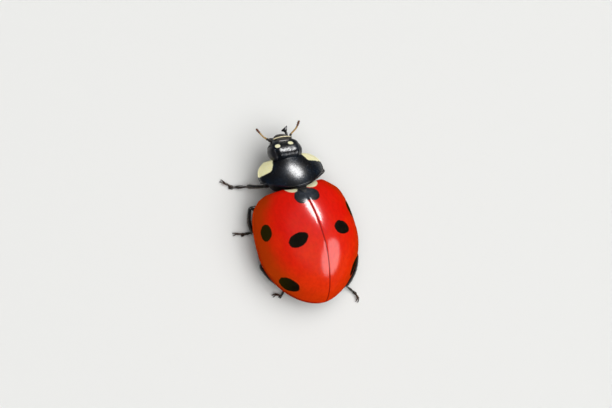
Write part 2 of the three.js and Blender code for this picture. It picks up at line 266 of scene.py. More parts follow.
# -------- mesh building
class Form:
    """Points in the beetle's millimetres and the faces between them."""

    def __init__(self):
        self.points = []
        self.faces = []
        self.patches = []
        self.count = 0

    def add(self, points, faces, patch=None):
        """Adds faces. Patch is the place of a tuft on the unwrapped skin."""
        base = self.count
        self.points.append(np.asarray(points, float))
        self.faces += [tuple(base + i for i in face) for face in faces]
        self.count += len(points)
        if patch is not None:
            turns = np.arange(len(points)) * 2.4
            reach = TUFT_REACH * np.sqrt(np.linspace(0.05, 1, len(points)))
            swirl = np.stack([reach * np.cos(turns), reach * np.sin(turns)], 1)
            self.patches.append(np.array(patch) + swirl)
        return self

    def grid(self, rows, ends=(True, True), patch=None):
        """Closed rows of points joined by quads; ends closes the first and last rows with fans."""
        rows = np.asarray(rows, float)
        count, width = rows.shape[:2]
        points = rows.reshape(-1, 3)
        faces = []
        for i in range(count - 1):
            for j in range(width):
                k = (j + 1) % width
                faces.append((i * width + j, i * width + k, (i + 1) * width + k, (i + 1) * width + j))
        hubs = []
        for row in (0, count - 1):
            if ends[row > 0]:
                hub = len(points) + len(hubs)
                hubs.append(rows[row].mean(0))
                faces += [(hub, row * width + j, row * width + (j + 1) % width) for j in range(width)]
        if hubs:
            points = np.vstack([points, hubs])
        return self.add(points, faces, patch)

    def ovals(self, middles, wides, deeps, sides=14, patch=None):
        """A limb of oval rows: each has a middle and its two half axes as vectors."""
        turns = np.linspace(0, 2 * np.pi, sides, endpoint=False)
        middles, wides, deeps = (np.asarray(v, float)[:, None] for v in (middles, wides, deeps))
        rows = middles + np.cos(turns)[:, None] * wides + np.sin(turns)[:, None] * deeps
        return self.grid(rows, patch=patch)

    def tube(self, path, widths, flat=1.0, across=(0, 0, 1), sides=14, patch=None):
        """A limb of oval section along a path. Its widths lie along the across direction, and flat times
        those beside it."""
        path = np.asarray(path, float)
        wides, deeps = [], []
        for i in range(len(path)):
            ahead = unit(path[min(i + 1, len(path) - 1)] - path[max(i - 1, 0)])
            wide = unit(np.asarray(across, float) - np.dot(across, ahead) * ahead)
            wides.append(wide * widths[i])
            deeps.append(np.cross(ahead, wide) * widths[i] * flat)
        return self.ovals(path, wides, deeps, sides, patch)

    def piece(self, name, look, slot, nodes=(), crease=None):
        """The form as an object that rides on the part and stands for the given CAD nodes."""
        mesh = bpy.data.meshes.new(name)
        mesh.from_pydata(((np.vstack(self.points) + SHIFT) * MM).tolist(), [], self.faces)
        if self.patches:
            places = np.vstack(self.patches)
            corners = np.array([loop.vertex_index for loop in mesh.loops])
            mesh.uv_layers.new(name="OFBake").data.foreach_set("uv", places[corners].ravel())
        work = bmesh.new()
        work.from_mesh(mesh)
        bmesh.ops.remove_doubles(work, verts=work.verts, dist=1e-8)
        bmesh.ops.recalc_face_normals(work, faces=work.faces)
        work.to_mesh(mesh)
        work.free()
        mesh.polygons.foreach_set("use_smooth", [True] * len(mesh.polygons))
        if crease:
            mesh.set_sharp_from_angle(angle=math.radians(crease))
        mesh.materials.append(look.material)
        made = put(name, mesh)
        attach(made, "root")
        if nodes:
            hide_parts(*nodes)
        return made


def ball(rings, sides, cap):
    """Rows of directions all round, whose poles lie along y with a small cap left out at each."""
    lat, lon = np.meshgrid(
        np.linspace(cap, np.pi - cap, rings),
        np.linspace(0, 2 * np.pi, sides, endpoint=False),
        indexing="ij",
    )
    return np.stack([np.sin(lat) * np.cos(lon), np.cos(lat), np.sin(lat) * np.sin(lon)], 2)


def egg(centre, size, power, turn=AXES):
    """A rounded lump, boxier with a higher power; turn is a 3 by 3 rotation of its axes."""
    rows = ball(28, 36, 0.03)
    rows /= (np.abs(rows) ** power).sum(2, keepdims=True) ** (1 / power)
    return Form().grid((rows * size) @ np.asarray(turn).T + centre)


# -------- shapes shared by meshes and markings
def case_outline(y):
    """Half width, margin height and back height of the wing cases at a station."""
    front = y < CASE_MID_Y
    v = np.clip(abs(y - CASE_MID_Y) / (CASE_FRONT_REACH if front else CASE_REAR_REACH), 0, 1)
    plan = CASE_FRONT_ROUND if front else CASE_REAR_ROUND
    rise = CASE_FRONT_RISE if front else CASE_REAR_RISE
    margin = CASE_MARGIN_Z - CASE_MARGIN_SLOPE * (y - CASE_MID_Y)
    half = CASE_HALF_WIDTH * (1 - v**plan) ** (1 / plan)
    return half, margin, margin + CASE_DOME * (1 - v**rise) ** (1 / rise)


def on_case(x, y):
    """The point of the left case's outside over (x, y), and the normal there."""

    def height(px, py):
        half, margin, back = case_outline(py)
        return margin + (back - margin) * max(0.0, 1 - (px / half) ** 2) ** (CASE_CROWN / 2)

    step = 0.01
    slope_x = (height(x + step, y) - height(x - step, y)) / (2 * step)
    slope_y = (height(x, y + step) - height(x, y - step)) / (2 * step)
    return np.array([x, y, height(x, y)]), unit([-slope_x, -slope_y, 1])


def on_skull(direction):
    """The point of the skull's surface along a direction, in the head's own axes."""
    low, high = 0.0, 2.0
    for _ in range(24):
        reach = (low + high) / 2
        if (np.abs(direction * reach / HEAD_SIZE) ** HEAD_POWERS).sum() > 1:
            high = reach
        else:
            low = reach
    return direction * low


SHIELD_AXES = np.array(Matrix.Rotation(-SHIELD_TURN, 3, "Z"))
SHIELD_PIVOT = np.array([0, SHIELD_REAR_Y, 0])
HEAD_AXES = np.array(Matrix.Rotation(-HEAD_YAW, 3, "Z") @ Matrix.Rotation(HEAD_PITCH, 3, "X"))


def on_head(left, mouth, face):
    """A place in the head's own axes: left, towards the mouth, out of the face."""
    return HEAD_AXES @ np.array([left, -mouth, face]) + HEAD_CENTRE


# -------- materials
RED = (0.82, 0.01, 0.003)
ORANGE = (0.86, 0.035, 0.003)
DEEP_RED = (0.2, 0.004, 0.002)
# painted reflection and shade for the low flanks of the wing cases
PAINTED_FLANK_RED = (0.36, 0.06, 0.002)
CLOUD_RED = (0.5, 0.006, 0.002)
CREAM = (0.98, 0.92, 0.5)
IVORY = (0.99, 0.95, 0.62)
BLACK = (0.005, 0.005, 0.006)
BLUE_BLACK = (0.004, 0.01, 0.02)
BROWN_BLACK = (0.012, 0.008, 0.006)
# the flank soot is a painted reflection, brownish, on the spots that reach the flanks
SOOT, PALE_SOOT, PAINTED_FLANK_SOOT = (0.005, 0.004, 0.002), (0.01, 0.008, 0.004), (0.02, 0.015, 0.002)
# a painted bluish reflection for the front of the spot that both cases share
PAINTED_REFLECTION_SLATE, PALE_PAINTED_REFLECTION_SLATE = (0.03, 0.036, 0.046), (0.06, 0.068, 0.082)
HORN = (0.3, 0.27, 0.2)
BELLY_BLACK, BELLY_GREY = (0.007, 0.007, 0.007), (0.016, 0.015, 0.014)

# Each spot of the left case: middle, half lengths along and across, and the direction of its long axis.
SPOTS = [
    ((2.24, -1.27), 0.4, 0.3, (0.25, 1.0)),
    ((1.16, -0.54), 0.48, 0.32, (1.0, 0.22)),
    ((1.77, 1.34), 0.53, 0.36, (1.0, -0.35)),
]


def case_look():
    look = Look("red wing case cuticle", coat_roughness=0.165, specular_ior_level=0.0)
    place = look.place()
    x, y, z = look.offsets(place, (0, 0, 0), AXES)
    side = abs(x)
    folded = look.node("ShaderNodeCombineXYZ", {}, {0: side, 1: y, 2: z})
    wobble = (look.noise(place, 2.4, 2.0) - 0.5) * 0.4 + (look.noise(place, 14.0, 2.0) - 0.5) * 0.1
    black = None
    for (cx, cy), length, width, direction in SPOTS:
        centre, normal = on_case(cx, cy)
        first = unit(np.array([*direction, 0]) - np.dot([*direction, 0], normal) * normal)
        along, beside = look.offsets(folded, centre, (first, np.cross(normal, first)))
        reach = ((along / length) ** 2 + (beside / width) ** 2) ** 0.5
        spot = (reach + wobble).ramp(1.06, 0.95)
        black = spot if black is None else black.most(spot)
    # the spot that both cases share is two lobes and a bridge behind the scutellum
    lobe = (((side - 0.3) / 0.32) ** 2 + ((y + 2.4) / 0.31) ** 2) ** 0.5
    bridge = ((side / 0.42) ** 2 + ((y + 2.5) / 0.33) ** 2) ** 0.5
    black = black.most((lobe + wobble * 0.6).ramp(1.07, 0.95)).most((bridge + wobble * 0.4).ramp(1.06, 0.96))

    # a cream crescent lies along the base, on both sides of the scutellum
    crescent = (((abs(x + 0.07) - 0.47) / 0.38) ** 2 + ((y + 2.97) / 0.27) ** 2) ** 0.5
    cream = (crescent + wobble * 0.5).ramp(1.06, 0.9)

    # the red is cloudy, warmer towards the tail, and deep in the margin and the seam; low on the flanks a
    # painted reflection and painted shade dull and darken it
    clouds = look.noise(place, 0.9)
    warm = (clouds * 0.9 + y * 0.13).ramp(0.2, 0.75)
    red = look.mix(warm, RED, ORANGE)
    fine = look.noise(look.vector("MULTIPLY", place, (1.0, 0.6, 1.0)), 7.0, 4.0).ramp(0.3, 0.8)
    red = look.mix(fine * 0.3, red, CLOUD_RED)
    # painted reflection and shade: low on the flanks, and more so towards the sides, the red is dulled and
    # darkened
    painted_flank = (z + (clouds - 0.5) * 0.7).ramp(2.25, 1.35) * (0.35 + 0.65 * side.ramp(1.0, 1.8))
    red = look.mix(painted_flank * 0.62, red, PAINTED_FLANK_RED)
    red = look.mix(z.ramp(1.1, 0.95) * 0.7, red, DEEP_RED)
    seam = side.ramp(0.05, 0.012) * y.ramp(-2.7, -2.3)
    red = look.mix(seam * 0.75, red, DEEP_RED)
    colour = look.mix(cream, red, IVORY)
    sooty = look.mix(fine, SOOT, PALE_SOOT)
    # painted reflection: the shared spot turns bluish grey at its front, near the seam
    painted_slate = look.mix(fine, PAINTED_REFLECTION_SLATE, PALE_PAINTED_REFLECTION_SLATE)
    sooty = look.mix(y.ramp(-2.1, -2.35) * side.ramp(0.85, 0.1), sooty, painted_slate)
    # spots that reach the flanks take a brownish painted reflection
    colour = look.mix(black, colour, look.mix(side.ramp(1.4, 2.1), sooty, PAINTED_FLANK_SOOT))
    surface = look.bump(look.pits(place, 16.0, 0.05), 0.003, 0.5)
    swell = look.bump(look.noise(place, 1.9, 2.0), 0.02, 0.5, normal=surface)
    rough = 0.22 + 0.1 * look.noise(place, 6.0, 4.0)
    gloss = look.facing().ramp(0.5, 0.25) * z.ramp(1.6, 2.45) * look.speckle(place, 0.75)
    return look.feed(base_color=colour, roughness=rough, coat_weight=gloss, normal=swell)


def shield_look():
    look = Look("black pronotum cuticle with cream corners", coat_roughness=0.23, specular_ior_level=0.1)
    place = look.place()
    x, y, z = look.offsets(place, SHIELD_PIVOT, SHIELD_AXES.T)
    side = abs(x - 0.1)
    ragged = (look.noise(place, 4.5, 2.0) - 0.5) * 0.12
    # how far a place lies outside the patch's inner and rear edges, rounded where they meet
    inner = (1.59 + 0.52 * y - side).most(0.0)
    rear = (y + 1.37 - 0.04 * x - 0.22 * side).most(0.0)
    cream = ((inner**2 + rear**2) ** 0.5 + ragged).ramp(0.12, 0.07)
    black = look.mix(look.noise(place, 2.0).ramp(0.35, 0.75), BLACK, BLUE_BLACK)
    lip = (y + 1.47).ramp(0.0, -0.02)
    colour = look.mix(lip * 0.6, black, HORN)
    mottle = look.noise(place, 11.0).ramp(0.3, 0.8)
    colour = look.mix(cream, colour, look.mix(mottle, CREAM, IVORY))
    grain = look.pits(place, 23.0) * 0.6 + look.noise(place, 30.0) * 0.6
    surface = look.bump(grain, 0.006, 0.7)
    rough = 0.2 + 0.12 * look.noise(place, 9.0)
    gloss = look.facing().ramp(0.45, 0.15) * look.speckle(place)
    return look.feed(base_color=colour, roughness=rough, coat_weight=gloss, normal=surface)


FRONS_SPOTS = [(0.45, 0.0, 0.36), (-0.23, 0.06, 0.39)]


def head_look():
    look = Look("black head cuticle with cream spots", coat_roughness=0.25, specular_ior_level=0.1)
    place = look.place()
    black = look.mix(look.noise(place, 3.0).ramp(0.35, 0.75), BLACK, BLUE_BLACK)
    wobble = (look.noise(place, 6.0, 2.0) - 0.5) * 0.4
    cream = None
    for spot_place in FRONS_SPOTS:
        across, down, out = look.offsets(place, on_head(*spot_place), HEAD_AXES.T)
        reach = ((across / 0.13) ** 2 + (down / 0.1) ** 2 + (out / 0.3) ** 2) ** 0.5
        spot = (reach + wobble).ramp(1.08, 0.92)
        cream = spot if cream is None else cream.most(spot)
    colour = look.mix(cream, black, IVORY)
    grain = look.pits(place, 23.0) * 0.5 + look.noise(place, 30.0) * 0.7
    surface = look.bump(grain, 0.008, 0.9)
    rough = 0.2 + 0.12 * look.noise(place, 14.0)
    broken = look.noise(place, 9.0).ramp(0.4, 0.56)
    gloss = look.facing().ramp(0.6, 0.25) * look.speckle(place, 0.5) * (0.3 + 0.7 * broken)
    return look.feed(base_color=colour, roughness=rough, coat_weight=gloss, normal=surface)


def cuticle_look(name, dark, light, rough=0.28, scale=8.0, depth=0.003, coat=0.2):
    """Plain cuticle: two close shades in clouds, fine pits and a thin gloss."""
    look = Look(name, coat_weight=coat, coat_roughness=0.2, specular_ior_level=0.3)
    place = look.place()
    clouds = look.noise(place, scale, 4.0)
    colour = look.mix(clouds.ramp(0.35, 0.7), dark, light)
    surface = look.bump(look.pits(place, 28.0) * 0.7 + clouds * 0.3, depth, 0.7)
    roughness = rough + 0.14 * look.noise(place, 20.0)
    return look.feed(base_color=colour, roughness=roughness, normal=surface)


CASE_LOOK = case_look()
SHIELD_LOOK = shield_look()
HEAD_LOOK = head_look()
EYE_LOOK = cuticle_look("eye lenses", (0.006, 0.006, 0.008), (0.012, 0.012, 0.016), 0.25, 20.0, 0.0005, 0.7)
MOUTH_LOOK = cuticle_look("dark mouthpart cuticle", BROWN_BLACK, (0.024, 0.015, 0.009), 0.3)
LIP_LOOK = cuticle_look("pale lip edge", (0.62, 0.54, 0.32), (0.8, 0.72, 0.46), 0.4)
AMBER_LOOK = cuticle_look("amber feeler", (0.42, 0.23, 0.03), (0.6, 0.37, 0.07), 0.35, 14.0)
CLUB_LOOK = cuticle_look("brown feeler club", (0.1, 0.03, 0.012), (0.2, 0.07, 0.025), 0.4, 14.0)
LEG_LOOK = cuticle_look("black leg cuticle", BLACK, (0.014, 0.013, 0.012), 0.24, 10.0)
FOOT_LOOK = cuticle_look("brown-black foot cuticle", BROWN_BLACK, (0.026, 0.018, 0.011), 0.32, 14.0)
CLAW_LOOK = cuticle_look("rufous claw", (0.03, 0.014, 0.008), (0.07, 0.03, 0.014), 0.3, 14.0)
BELLY_LOOK = cuticle_look("black underside cuticle", BELLY_BLACK, BELLY_GREY, 0.34, 6.0, 0.006)
WHITE_LOOK = cuticle_look("ivory side plate", CREAM, IVORY, 0.4, 10.0)
HAIR_LOOK = cuticle_look("pale brown hair", (0.2, 0.14, 0.08), (0.34, 0.26, 0.16), 0.5, 20.0, 0.0005, 0.0)
DARK_HAIR_LOOK = cuticle_look("dark hair", (0.03, 0.02, 0.012), (0.07, 0.05, 0.03), 0.5, 20.0, 0.0005, 0.0)

# -------- wing cases
OUTER, INNER = 56, 17  # points across the outside and the inside of a section


def case_section(y, side):
    """The closed section of one wing case at a station: outside, beaded margin, underside, inside."""
    half, margin, back = case_outline(y)
    small = min(1.0, half / 0.7)
    from_base = y - CASE_BASE_Y
    seam = 0.003
    roll = 0.09 * (1 - math.sqrt(max(0.0, 1 - smooth(0.2, 0.0, from_base) ** 1.6)))
    section = []
    for angle in np.linspace(math.pi / 2, 0.06, OUTER):
        x = max(seam, (half - 0.05 * small) * math.cos(angle))
        z = margin + (back - margin) * math.sin(angle) ** CASE_CROWN
        z -= 0.014 * small * smooth(0.05, 0.0, x - seam)
        z -= roll * smooth(-0.2, 0.25, z - margin)
        z += 0.015 * math.exp(-((x - 1.66) ** 2 + (y + 2.4) ** 2) / 0.08)
        section.append((x, z))
    bead = BEAD * small
    for turn in np.radians(np.linspace(115, -100, 9)):
        section.append((half - bead + bead * math.cos(turn), margin + bead * math.sin(turn)))
    under = 0.42 * small * (1 - 0.45 * smooth(0.3, 2.2, y))
    section.append((half - 0.05 * small - under * 0.5, margin - 0.045 * small))
    section.append((half - 0.05 * small - under, margin - 0.03 * small))
    rim = half - 0.08 * small - under
    section.append((rim, margin + 0.03 * small))
    thin = 0.09 * small
    for angle in np.linspace(0.16, math.pi / 2, INNER - 1):
        x = min(rim, max(seam, (half - 0.05 * small - thin) * math.cos(angle)))
        z = margin + (back - margin - thin) * math.sin(angle) ** CASE_CROWN - roll
        section.append((x, max(z, margin + 0.05 * small)))
    hollow = CASE_BASE_HOLLOW * smooth(0.7, 0.0, from_base)
    corner = 0.18 * smooth(0.75, 0.0, from_base)
    placed = []
    for x, z in section:
        drawn = hollow * max(0.0, 1 - (x / 0.85) ** 2) + corner * smooth(1.15, 1.9, x) ** 1.5
        placed.append((side * x, y + drawn, z))
    return placed


def wing_case(side):
    front = math.asin((CASE_MID_Y - CASE_BASE_Y) / CASE_FRONT_REACH)
    rear = math.asin(0.99995)
    # the sections lie closest at the base, where the case rolls under
    base = np.linspace(-front, -front + 0.12, 12)
    turns = [*base[:-1], *np.linspace(base[-1], rear, 96)]
    rows = []
    for turn in turns:
        reach = CASE_FRONT_REACH if turn < 0 else CASE_REAR_REACH
        rows.append(case_section(CASE_MID_Y + reach * math.sin(turn), side))
    form = Form().grid(rows, ends=(False, True))
    # the base is closed by a strip between the outside and the inside of the first section
    count = len(rows[0])
    inner = [count - 1 - min(INNER - 2, k * (INNER - 1) // (OUTER - 1)) for k in range(OUTER)]
    faces = []
    for k in range(OUTER - 1):
        face = (k, k + 1, inner[k + 1], inner[k])
        faces.append(face if inner[k] != inner[k + 1] else face[:3])
    faces.append(tuple(range(OUTER - 1, inner[-1] + 1)))
    return form.add(rows[0], faces)


for side, name in SIDES:
    wing_case(side).piece(f"wing_case_{name}", CASE_LOOK, "wing_case", [f"elytron_{name}"], crease=50)

# -------- scutellum
rows = []
for t in np.linspace(0, 1, 16):
    y = CASE_BASE_Y + 0.02 + 0.4 * t
    _, _, back = case_outline(y)
    half = 0.26 * (1 - t**1.6) + 0.004
    lift = back - 0.12 * smooth(0.26, 0.0, 0.4 * t) ** 1.6
    roof = [(half * s, y, lift + 0.025 * (1 - s * s) * (1 - t) + 0.003) for s in np.linspace(-1, 1, 13)]
    rows.append(roof + [(half, y, lift - 0.15), (-half, y, lift - 0.15)])
Form().grid(rows).piece("scutellum_plate", LEG_LOOK, "shell", ["scutellum"], crease=40)


# -------- pronotum
def shield_point(across, forward, lower=0.0):
    """A point of the pronotum: across -1 to 1, forward 0 at the rear edge to 1 at the front."""
    reach = abs(across)
    corners = 0.015 * (1 - smooth(0, 0.16, forward)) + 0.01 * smooth(0.86, 1.0, forward)
    half = SHIELD_HALF_WIDTH * (1 - SHIELD_TAPER * forward**3.4) * (1 - corners * reach**6)
    rear = -SHIELD_REAR_SWEEP * reach**1.9
    front = SHIELD_FRONT_Y - SHIELD_REAR_Y + 0.02 * reach**6
    ridge = SHIELD_RIDGE[0] + (SHIELD_RIDGE[1] - SHIELD_RIDGE[0]) * forward**1.3
    margin = SHIELD_MARGIN[0] + (SHIELD_MARGIN[1] - SHIELD_MARGIN[0]) * forward
    ridge += 0.09 * math.sin(math.pi * forward)
    top = margin + (ridge - margin) * max(0.0, 1 - reach**2.1) ** 0.75
    top -= 0.05 * (1 - smooth(0, 0.05, forward)) + 0.05 * smooth(0.95, 1.0, forward)
    point = np.array([across * half, rear + (front - rear) * forward, top - lower])
    return SHIELD_AXES @ point + SHIELD_PIVOT


def shield_form():
    """The pronotum: its back, a rolled edge on each side and a hollow underside."""
    rows = []
    for forward in 0.5 - 0.5 * np.cos(np.linspace(0, math.pi, 58)):
        row = [shield_point(s, forward) for s in np.sin(np.linspace(-math.pi / 2, math.pi / 2, 81))]
        right, left = row[0], row[-1]
        row = row[1:-1]
        for turn in np.radians(np.linspace(100, -100, 9)):
            edge = (0.01 + BEAD * math.cos(turn), 0, BEAD * math.sin(turn) - 0.012)
            row.append(left + SHIELD_AXES @ edge)
        for s in np.linspace(0.97, -0.97, 33):
            thick = 0.07 + 0.2 * (1 - abs(s)) * math.sin(math.pi * forward) ** 0.5
            row.append(shield_point(s, forward, thick))
        for turn in np.radians(np.linspace(-100, 100, 9)):
            edge = (0.01 + BEAD * math.cos(turn), 0, 0.012 - BEAD * math.sin(turn))
            row.append(right - SHIELD_AXES @ edge)
        rows.append(row)
    return Form().grid(rows)


shield_form().piece("pronotum_shield", SHIELD_LOOK, "shell", ["pronotum"], crease=55)

# -------- head
def head_form():
    """The skull: boxy and flat-faced, with sockets for the eyes and pits for the feelers."""
    rows = []
    for directions in ball(90, 128, 0.02):
        row = []
        for direction in directions:
            left, mouth, face = on_skull(direction * HEAD_SIZE)
            side = abs(left)
            # the face slopes down from the neck to the mouth and is slightly hollow in front of the eyes
            face -= FACE_SLOPE * mouth * smooth(0, 0.3, face)
            face -= 0.03 * smooth(0.05, 0.4, mouth) * smooth(0.4, 0.1, side) * smooth(0, 0.3, face)
            brow = math.exp(-((side - 0.4) ** 2 + (mouth - 0.3) ** 2) / 0.02)
            face += 0.035 * brow * smooth(0, 0.2, face)
            pit = math.exp(-((side - 0.45) ** 2 + (mouth - 0.38) ** 2 + (face - 0.1) ** 2) / 0.008)
            # a lobe of the cheek stands out in front of each eye
            left *= 1 + 0.05 * math.exp(-(((mouth - 0.2) / 0.12) ** 2) - (face / 0.3) ** 2)
            left *= 1 - 0.07 * smooth(0.1, -0.25, mouth) * smooth(0.35, 0.65, side)
            left *= 1 - 0.15 * smooth(0.18, 0.42, mouth)
            shrink = 1 - 0.08 * pit
            row.append(on_head(left * shrink, mouth * shrink, face * shrink))
        rows.append(row)
    return Form().grid(rows)


head_form().piece("head_capsule", HEAD_LOOK, "shell", ["head"])


def lens_ball(size):
    """An eye: a flattened ball whose surface is a close packing of small domed lenses."""
    seeds = bmesh.new()
    bmesh.ops.create_icosphere(seeds, subdivisions=5, radius=1)
    centres = [v.co.copy() for v in seeds.verts]
    seeds.free()
    tree = kdtree.KDTree(len(centres))
    for i, centre in enumerate(centres):
        tree.insert(centre, i)
    tree.balance()
    ball = bmesh.new()
    bmesh.ops.create_icosphere(ball, subdivisions=7, radius=1)
    points = []
    for vertex in ball.verts:
        _, _, away = tree.find(vertex.co)
        points.append(np.array(vertex.co) * (1 - LENS_DOME * (away / LENS_SPACING) ** 2) * size)
    faces = [tuple(v.index for v in face.verts) for face in ball.faces]
    ball.free()
    return np.array(points), faces


eye_points, eye_faces = lens_ball(EYE_SIZE)
for side, name in SIDES:
    centre = EYE_CENTRE * (side, 1, 1)
    placed = [on_head(*(p * (side, 1, 1) + centre)) for p in eye_points]
    Form().add(placed, eye_faces).piece(f"eye_lenses_{name}", EYE_LOOK, "eye", [f"eye_{name}"])


# the section of a lip plate, in shares of its half width and of its half thickness
LIP_TOP = [(0.02, 1), (0.45, 0.95), (0.78, 0.72), (0.94, 0.4), (1, 0)]
LIP_BASE = [(0.94, -0.4), (0.6, -0.8), (0.02, -1)]


def lip(name, half, back, front, droop, height, thick, look, nodes=()):
    """A rounded plate over the mouth. Back and front are its edges' places towards the mouth, droop how far
    the front lies below the back, and height how far out of the face the back lies."""
    rows = []
    for share, rise in LIP_TOP + LIP_BASE:
        row = []
        for turn in np.linspace(0, 2 * math.pi, 56, endpoint=False):
            c, s = math.cos(turn), math.sin(turn)
            left = half * share * abs(c) ** 0.75 * np.sign(c)
            t = 0.5 + 0.5 * share * abs(s) ** 0.7 * np.sign(s)
            t -= 0.35 * t * (left / half) ** 2
            row.append(on_head(left, back + (front - back) * t, height - droop * t * t + thick / 2 * rise))
        rows.append(row)
    return Form().grid(rows).piece(name, look, "shell", nodes)


lip("clypeus_plate", 0.42, 0.2, 0.51, 0.11, 0.27, 0.13, MOUTH_LOOK)
rim = bent([on_head(left, 0.53 - 0.32 * left * left, 0.23) for left in np.linspace(-0.43, 0.43, 9)], 40)
Form().tube(rim, [0.032] * 40, 0.8, HEAD_AXES[:, 2]).piece("clypeus_edge", LIP_LOOK, "shell")
lip("labrum_plate", 0.38, 0.42, 0.78, 0.1, 0.13, 0.15, MOUTH_LOOK, ["labrum"])
chin = egg(on_head(0, 0.22, -0.39), (0.24, 0.27, 0.08), 2.5, HEAD_AXES)
chin.piece("chin_plate", MOUTH_LOOK, "underside")
bristles = Form()


def hair(form, root, direction, length, radius, droop, patch):
    """One hair: a thin tapering curved spike."""
    direction = unit(direction)
    path = [root + direction * length * t - (0, 0, droop * length * t * t) for t in (0, 0.4, 0.75, 1)]
    form.tube(path, radius * np.array([1, 0.8, 0.5, 0.12]), 1.0, (0.31, 0.22, 0.9), 4, patch)


for _ in range(30):
    across = random.uniform(-0.27, 0.27)
    root = on_head(across, 0.68 - 0.6 * across**2, 0.03)
    ahead = HEAD_AXES @ np.array([across * 0.6, -1.0, -0.25 + random.uniform(-0.2, 0.2)])
    hair(bristles, root, ahead, random.uniform(0.05, 0.09), 0.004, 0.3, (0.5 + across, 0.9))
ahead = HEAD_AXES @ np.array([0.0, -1.0, 0.35])
for side in (1, -1):
    for _ in range(90):
        left, mouth = side * random.uniform(0.0, 0.42), random.uniform(-0.3, 0.3)
        spent = np.abs(np.array([left, mouth]) / HEAD_SIZE[:2]) ** HEAD_POWERS[:2]
        face = HEAD_SIZE[2] * (1 - spent.sum()) ** (1 / HEAD_POWERS[2])
        face -= FACE_SLOPE * mouth * smooth(0, 0.3, face)
        root = on_head(left, mouth, face - 0.02)
        patch = (0.5 + left * 0.5, 0.4 + mouth * 0.5)
        hair(bristles, root, ahead, random.uniform(0.05, 0.075), 0.003, 0.3, patch)
bristles.piece("head_hairs", HAIR_LOOK, "shell")

MANDIBLE = [(0.3, 0.36, -0.1), (0.27, 0.58, -0.12), (0.06, 0.68, -0.12)]
for side, name in SIDES:
    path = bent([on_head(side * left, mouth, face) for left, mouth, face in MANDIBLE], 16)
    widths = tapered([(0, 0.09), (0.5, 0.08), (0.85, 0.045), (1, 0.008)], 16)
    Form().tube(path, widths, 0.7, HEAD_AXES[:, 2]).piece(f"mandible_{name}", CLAW_LOOK, "leg")

# -------- feelers
FEELERS = {
    "left": [
        (0.4, -5.27, 1.27), (0.65, -5.48, 1.28), (0.8, -5.65, 1.3),
        (0.92, -5.86, 1.32), (1.02, -6.05, 1.35),
    ],
    "right": [(-0.5, -5.08, 1.34), (-0.58, -5.34, 1.34), (-0.95, -5.58, 1.36), (-1.2, -5.88, 1.38)],
}
# length, and half width near the foot and near the end, of the eleven segments; the last is rounded off
SEGMENTS = [
    (0.22, 0.058, 0.068), (0.12, 0.05, 0.056),
    (0.12, 0.031, 0.039), (0.075, 0.031, 0.037), (0.075, 0.031, 0.037),
    (0.065, 0.031, 0.037), (0.065, 0.032, 0.038), (0.07, 0.033, 0.042),
    (0.095, 0.04, 0.062), (0.1, 0.05, 0.069), (0.11, 0.052, None),
]


def segment(count, near, far):
    """Half widths of a feeler segment: narrow at its foot, and widest near its end or rounded off there."""
    if far:
        stops = [(0, near * 0.75), (0.2, near * 1.05), (0.75, far * 1.02), (0.92, far), (1, far * 0.6)]
        return tapered(stops, count)
    widths = []
    for t in np.linspace(0, 1, count):
        dome = math.sqrt(max(0.03, 1 - max(0.0, (t - 0.3) / 0.7) ** 2))
        widths.append(near * 1.15 * dome * (0.75 + 0.25 * min(1, t * 5)))
    return widths


for side, points in FEELERS.items():
    curve = bent(points, 120)
    steps = np.concatenate([[0], np.cumsum(np.linalg.norm(np.diff(curve, axis=0), axis=1))])
    scale = steps[-1] / sum(s[0] for s in SEGMENTS)
    forms = {"scape": Form(), "shaft": Form(), "club": Form()}
    looks = {"scape": MOUTH_LOOK, "shaft": AMBER_LOOK, "club": CLUB_LOOK}
    fringe = Form()
    start = 0.0
    for i, (length, near, far) in enumerate(SEGMENTS):
        group = "scape" if i < 2 else "shaft" if i < 8 else "club"
        stations = start + length * scale * 0.98 * np.linspace(0, 1, 12)
        path = np.stack([np.interp(stations, steps, curve[:, k]) for k in range(3)], 1)
        widths = segment(12, near, far)
        forms[group].tube(path, widths, 0.82 if group == "club" else 1, (0, 0, 1), 16)
        start += length * scale
        for _ in range(14):
            j = random.randint(3, 9)
            around = random.uniform(0, 2 * math.pi)
            ahead = unit(path[j + 1] - path[j])
            beside = unit(np.cross(ahead, (0, 0, 1)))
            out = beside * math.cos(around) + np.cross(beside, ahead) * math.sin(around)
            patch = ((i + j / 12) / 12, around / 6.4)
            hair(fringe, path[j] + out * widths[j] * 0.85, out * 0.8 + ahead, 0.045, 0.0028, 0, patch)
    for group, form in forms.items():
        form.piece(f"feeler_{group}_{side}", looks[group], "feeler", [f"antenna_{group}_{side}"])
    fringe.piece(f"feeler_hairs_{side}", HAIR_LOOK, "feeler")

# -------- palps
# Three joints and the middle of the blade's edge, then the direction of that edge.
PALPS = {
    "left": [
        (0.16, -5.1, 1.0), (0.18, -5.22, 0.9), (0.15, -5.32, 0.82),
        (0.1, -5.44, 0.76), (1.0, -0.2, 0.0),
    ],
    "right": [
        (-0.46, -5.2, 1.02), (-0.58, -5.36, 0.95), (-0.6, -5.53, 0.88),
        (-0.585, -5.75, 0.84), (-0.9, -0.43, 0.1),
    ],
}
